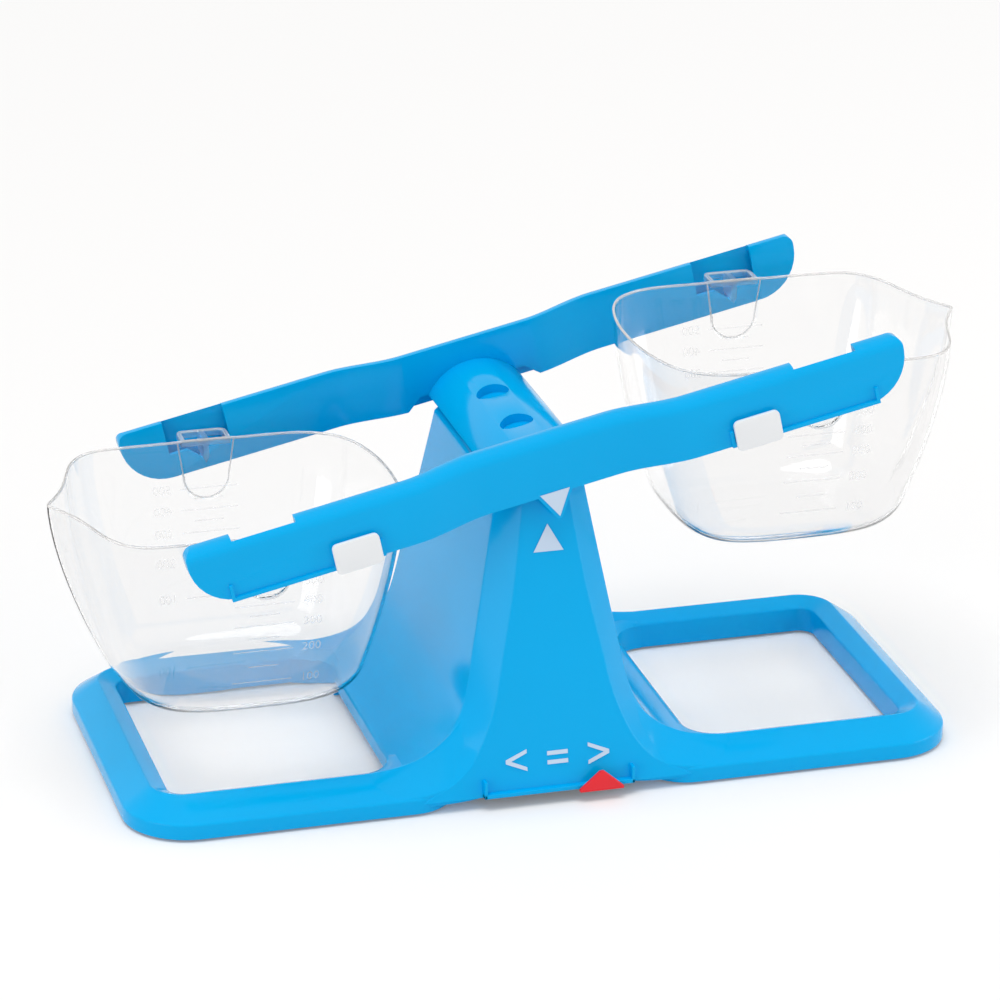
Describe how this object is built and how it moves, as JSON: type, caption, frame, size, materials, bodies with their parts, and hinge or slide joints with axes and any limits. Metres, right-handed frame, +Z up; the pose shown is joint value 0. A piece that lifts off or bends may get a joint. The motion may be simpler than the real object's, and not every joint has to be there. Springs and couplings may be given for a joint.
{
  "type": "bucket balance",
  "caption": "Tilting bucket balance: a hollow base with a central tower carries a two-arm beam with sliding weights, and a clear pouring bucket hangs at each end.",
  "frame": {"origin": "on the floor, under the middle of the overall box at rest", "axes": "+X along the beam to the raised bucket, -Y the front with the pointer and marker, +Z up"},
  "size_m": [0.3644, 0.1542, 0.1733],
  "materials": {
    "blue_plastic": "moulded, semi-gloss",
    "white_plastic": "moulded, satin",
    "red_plastic": "moulded, satin",
    "grey_plastic": "moulded, matt",
    "clear_plastic": "clear, polished",
    "white_print": "printed",
    "foot_rubber": "matt",
    "steel": "bright drawn"
  },
  "bodies": {
    "base": {"tower": "blue_plastic", "loop_left": "blue_plastic", "loop_right": "blue_plastic", "bearing_front": "grey_plastic", "bearing_back": "grey_plastic", "foot_front_left": "foot_rubber", "foot_front_right": "foot_rubber", "foot_back_left": "foot_rubber", "foot_back_right": "foot_rubber", "print_less": "white_print", "print_equal_upper": "white_print", "print_equal_lower": "white_print", "print_greater": "white_print", "print_triangle": "white_print"},
    "marker": {"marker": "red_plastic"},
    "beam": {"arm_front": "blue_plastic", "arm_back": "blue_plastic", "hub": "blue_plastic", "axle": "steel", "print_pointer": "white_print"},
    "slider_left": {"slider_left": "white_plastic"},
    "slider_right": {"slider_right": "white_plastic"},
    "bucket_left": {"bucket_left": "clear_plastic"},
    "bucket_right": {"bucket_right": "clear_plastic"}
  },
  "joints": [
    {"name": "beam_tilt", "type": "hinge", "parent": "base", "child": "beam", "pos_m": [-0.00062, 0.0021, 0.1282], "axis": [0, 1, 0], "range_deg": [0, 24.5]},
    {"name": "bucket_left_hang", "type": "hinge", "parent": "beam", "child": "bucket_left", "pos_m": [-0.10896, 0.0021, 0.10169], "axis": [0, 1, 0], "range_deg": [-24.6, 0.1]},
    {"name": "bucket_right_hang", "type": "hinge", "parent": "beam", "child": "bucket_right", "pos_m": [0.10896, 0.0021, 0.14904], "axis": [0, 1, 0], "range_deg": [-24.6, 0.1]},
    {"name": "slider_left_slide", "type": "slide", "parent": "beam", "child": "slider_left", "axis": [-0.9772, 0, -0.2123], "range_m": [0, 0.0388]},
    {"name": "slider_right_slide", "type": "slide", "parent": "beam", "child": "slider_right", "axis": [0.9772, 0, 0.2123], "range_m": [0, 0.0388]},
    {"name": "marker_slide", "type": "slide", "parent": "base", "child": "marker", "axis": [1, 0, 0], "range_m": [-0.036, 0.0036]}
  ],
  "couplings": [
    {"joint": "bucket_left_hang", "follows": "beam_tilt", "ratio": -1},
    {"joint": "bucket_right_hang", "follows": "beam_tilt", "ratio": -1}
  ]
}
